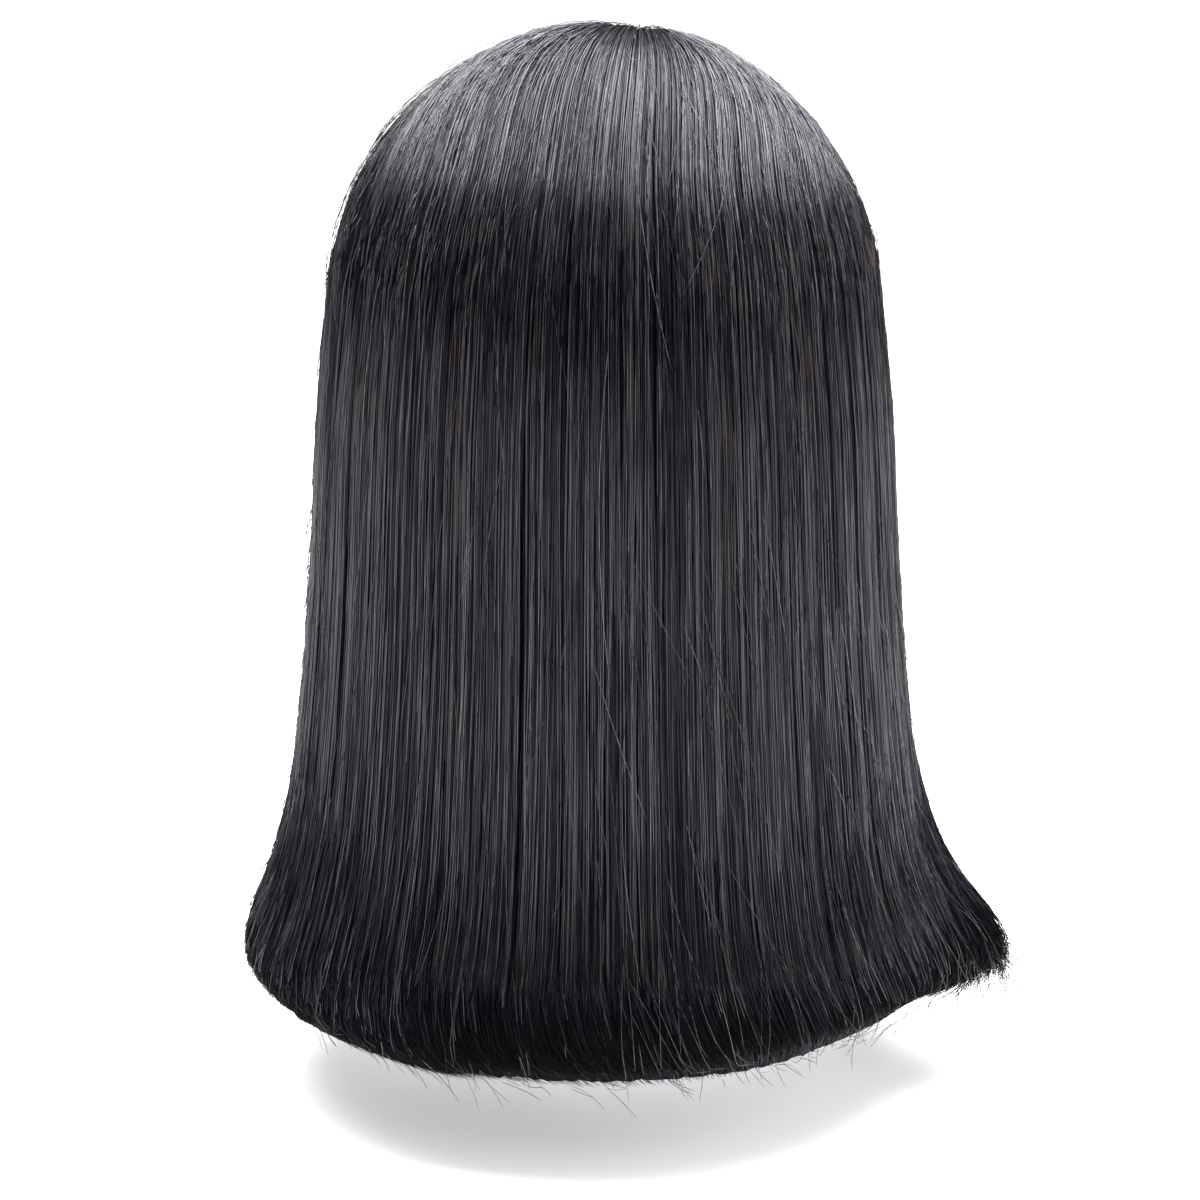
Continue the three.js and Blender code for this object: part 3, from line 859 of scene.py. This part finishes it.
def strand_material(kind):
    """Hair of one kind: its tone drifts along each strand, and the ends are a little browner and
    lighter, partly wear and partly painted light.
    """
    darker, lighter, specular, smooth, rough = TONES[kind]
    made, tree, shader = material("hair_" + kind)
    shade = add(tree, "Attribute", attribute_name="shade").outputs["Fac"]
    along = add(tree, "Attribute", attribute_name="along").outputs["Fac"]
    tone = drifting_tone(tree, shade, along, darker, lighter)
    # browner, lighter ends: partly wear, partly painted light
    worn_and_lit = add(tree, "MixRGB", blend_type="MIX")
    worn_and_lit.inputs["Color2"].default_value = (*WORN_AND_LIT_COLOUR, 1)
    most = WORN_AND_LIT_UNDER if kind == "under_shade" else WORN_AND_LIT
    tree.links.new(ranged(tree, along, WORN_AND_LIT_START, 0, most), worn_and_lit.inputs["Fac"])
    tree.links.new(tone, worn_and_lit.inputs["Color1"])
    tree.links.new(worn_and_lit.outputs["Color"], shader.inputs["Base Color"])
    tree.links.new(ranged(tree, shade, 0, smooth, rough), shader.inputs["Roughness"])
    shader.inputs["Specular IOR Level"].default_value = specular
    shader.inputs["Specular Tint"].default_value = (*SPECULAR_TINT, 1)
    return made


def core_material():
    """Matt black hair in the depth between the strands, duller than they are: painted shade in the gaps
    between them.
    """
    made, tree, shader = material("hair_core")
    shade = add(tree, "Attribute", attribute_name="shade")
    noise = add(tree, "TexNoise", noise_dimensions="1D")
    noise.inputs["Scale"].default_value = 700
    tree.links.new(shade.outputs["Fac"], noise.inputs["W"])
    tones = colour_ramp(tree, [(0.3, (0.001, 0.001, 0.002)), (0.7, (0.004, 0.0035, 0.004))])
    tree.links.new(noise.outputs["Fac"], tones.inputs["Fac"])
    tree.links.new(tones.outputs["Color"], shader.inputs["Base Color"])
    shader.inputs["Roughness"].default_value = 0.65
    shader.inputs["Specular IOR Level"].default_value = 0.05
    return made


def net_cells(tree, scale):
    """Cells of a net, 0 in the middle of a hole and more towards its threads, with their coordinates."""
    place = add(tree, "TexCoord")
    cells = add(tree, "TexVoronoi", feature="F1")
    cells.inputs["Scale"].default_value = scale
    cells.inputs["Randomness"].default_value = 0.35
    tree.links.new(place.outputs["Object"], cells.inputs["Vector"])
    return cells.outputs["Distance"], place.outputs["Object"]


def raise_threads(tree, shader, height, distance):
    """Raises a net's threads by a distance in metres."""
    bump = add(tree, "Bump")
    bump.inputs["Strength"].default_value = 0.6
    bump.inputs["Distance"].default_value = distance
    tree.links.new(height, bump.inputs["Height"])
    tree.links.new(bump.outputs["Normal"], shader.inputs["Normal"])


def cap_material():
    """Dark stretch net with sewn rows of hair wefts."""
    made, tree, shader = material("cap_net")
    distance, place = net_cells(tree, 480)
    net = colour_ramp(tree, [(0.25, (0.008, 0.006, 0.006)), (0.6, (0.05, 0.04, 0.035))])
    tree.links.new(distance, net.inputs["Fac"])
    rows = add(tree, "TexWave", bands_direction="Z", wave_profile="SIN")
    rows.inputs["Scale"].default_value = 34
    rows.inputs["Distortion"].default_value = 0.6
    rows.inputs["Detail"].default_value = 1
    tree.links.new(place, rows.inputs["Vector"])
    band = colour_ramp(tree, [(0.72, (0, 0, 0)), (0.86, (1, 1, 1))])
    tree.links.new(rows.outputs["Fac"], band.inputs["Fac"])
    stitches = add(tree, "TexNoise")
    stitches.inputs["Scale"].default_value = 900
    tree.links.new(place, stitches.inputs["Vector"])
    weft = colour_ramp(tree, [(0.4, (0.004, 0.003, 0.004)), (0.65, (0.022, 0.018, 0.018))])
    tree.links.new(stitches.outputs["Fac"], weft.inputs["Fac"])
    sewn = add(tree, "MixRGB", blend_type="MIX")
    tree.links.new(band.outputs["Color"], sewn.inputs["Fac"])
    tree.links.new(net.outputs["Color"], sewn.inputs["Color1"])
    tree.links.new(weft.outputs["Color"], sewn.inputs["Color2"])
    tree.links.new(sewn.outputs["Color"], shader.inputs["Base Color"])
    height = add(tree, "Math", operation="MAXIMUM")
    tree.links.new(distance, height.inputs[0])
    tree.links.new(rows.outputs["Fac"], height.inputs[1])
    raise_threads(tree, shader, height.outputs["Value"], 0.0006)
    shader.inputs["Roughness"].default_value = 0.85
    shader.inputs["Specular IOR Level"].default_value = 0.2
    return made


def lace_material():
    """Fine skin-toned net, a little uneven in tone, with knots."""
    made, tree, shader = material("parting_lace")
    distance, place = net_cells(tree, 1300)
    net = colour_ramp(tree, [(0.3, (0.1, 0.058, 0.04)), (0.6, (0.2, 0.125, 0.09))])
    tree.links.new(distance, net.inputs["Fac"])
    patches = add(tree, "TexNoise")
    patches.inputs["Scale"].default_value = 260
    tree.links.new(place, patches.inputs["Vector"])
    knots = colour_ramp(tree, [(0.4, (1, 1, 1)), (0.62, (0.55, 0.45, 0.42))])
    tree.links.new(patches.outputs["Fac"], knots.inputs["Fac"])
    tone = add(tree, "MixRGB", blend_type="MULTIPLY")
    tone.inputs["Fac"].default_value = 0.7
    tree.links.new(net.outputs["Color"], tone.inputs["Color1"])
    tree.links.new(knots.outputs["Color"], tone.inputs["Color2"])
    tree.links.new(tone.outputs["Color"], shader.inputs["Base Color"])
    raise_threads(tree, shader, distance, 0.0002)
    shader.inputs["Roughness"].default_value = 0.8
    shader.inputs["Specular IOR Level"].default_value = 0.2
    return made


def make_camera():
    """Camera behind the wig and a little above it, framed as the photograph is."""
    back = Vector((0, math.cos(CAMERA_ELEVATION), math.sin(CAMERA_ELEVATION)))
    data = bpy.data.cameras.new("camera")
    data.sensor_width = 36
    data.lens = data.sensor_width * PHOTO_FOCAL_LENGTH / PHOTO_SIZE
    data.shift_x = (PHOTO_SIZE / 2 - PHOTO_TARGET[0]) / PHOTO_SIZE
    data.shift_y = (PHOTO_TARGET[1] - PHOTO_SIZE / 2) / PHOTO_SIZE
    camera = bpy.data.objects.new("camera", data)
    camera.location = Vector(CAMERA_TARGET) + back * CAMERA_DISTANCE
    camera.rotation_euler = (-back).to_track_quat("-Z", "Y").to_euler()
    bpy.context.scene.collection.objects.link(camera)
    bpy.context.scene.camera = camera


def make_world():
    """White to the camera and for soft light, dim where the hair would mirror it."""
    world = bpy.data.worlds.new("studio")
    world.use_nodes = True
    tree = world.node_tree
    seen = tree.nodes["Background"]
    mirrored = add(tree, "Background")
    for node, (colour, strength) in ((seen, WORLD_SEEN), (mirrored, WORLD_MIRRORED)):
        node.inputs["Color"].default_value = (*colour, 1)
        node.inputs["Strength"].default_value = strength
    path = add(tree, "LightPath")
    mix = add(tree, "MixShader")
    tree.links.new(path.outputs["Is Glossy Ray"], mix.inputs["Fac"])
    tree.links.new(seen.outputs["Background"], mix.inputs[1])
    tree.links.new(mirrored.outputs["Background"], mix.inputs[2])
    tree.links.new(mix.outputs["Shader"], tree.nodes["World Output"].inputs["Surface"])
    bpy.context.scene.world = world


def area_light(name, location, target, size, power, colour, turn):
    """Soft square light aimed at a target, turned in its own plane by some degrees."""
    data = bpy.data.lights.new(name, "AREA")
    data.shape = "SQUARE"
    data.size = size
    data.energy = power
    data.color = colour
    light = bpy.data.objects.new(name, data)
    light.location = location
    aim = (Vector(target) - Vector(location)).to_track_quat("-Z", "Y")
    light.rotation_euler = (aim @ Quaternion((0, 0, 1), math.radians(turn))).to_euler()
    bpy.context.scene.collection.objects.link(light)


def make_floor():
    """Plain pale floor."""
    mesh = bpy.data.meshes.new("floor")
    sides = [(-1, -1), (1, -1), (1, 1), (-1, 1)]
    corners = [(x * FLOOR_REACH, y * FLOOR_REACH, FLOOR_HEIGHT) for x, y in sides]
    mesh.from_pydata(corners, [], [(0, 1, 2, 3)])
    made, _, shader = material("floor")
    shader.inputs["Base Color"].default_value = (0.9, 0.9, 0.9, 1)
    shader.inputs["Roughness"].default_value = 0.9
    mesh.materials.append(made)
    floor = bpy.data.objects.new("floor", mesh)
    bpy.context.scene.collection.objects.link(floor)


def finish_hair(piece, materials, replaced):
    """Materials and body of a piece of hair, and hiding of the solids that it replaces."""
    for look in materials:
        piece.data.materials.append(look)
    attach(piece, "root")
    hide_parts(*replaced)


def dress_node(node, look):
    """Look of a solid that is kept as it is."""
    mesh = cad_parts[node].data
    mesh.materials.clear()
    mesh.materials.append(look)
    mesh.polygons.foreach_set("use_smooth", [True] * len(mesh.polygons))
    mesh.set_sharp_from_angle(angle=SHARP_ANGLE)


make_camera()
make_world()
for row in LIGHTS:
    area_light(*row)
make_floor()
bpy.context.scene.cycles.max_bounces = 4
bpy.context.scene.view_settings.view_transform = "Standard"

hair_looks = [strand_material(name) for name in KIND_NAMES]
hair_nodes = [panel[0] for panel in PANELS]
for index, (node, low, high, count) in enumerate(PANELS):
    finish_hair(panel_strands(node, low, high, count, index), hair_looks, [node])
finish_hair(hair_core(), [core_material()], hair_nodes)
finish_hair(stray_hairs(), hair_looks, hair_nodes)
dress_node("cap", cap_material())
dress_node("parting_lace", lace_material())
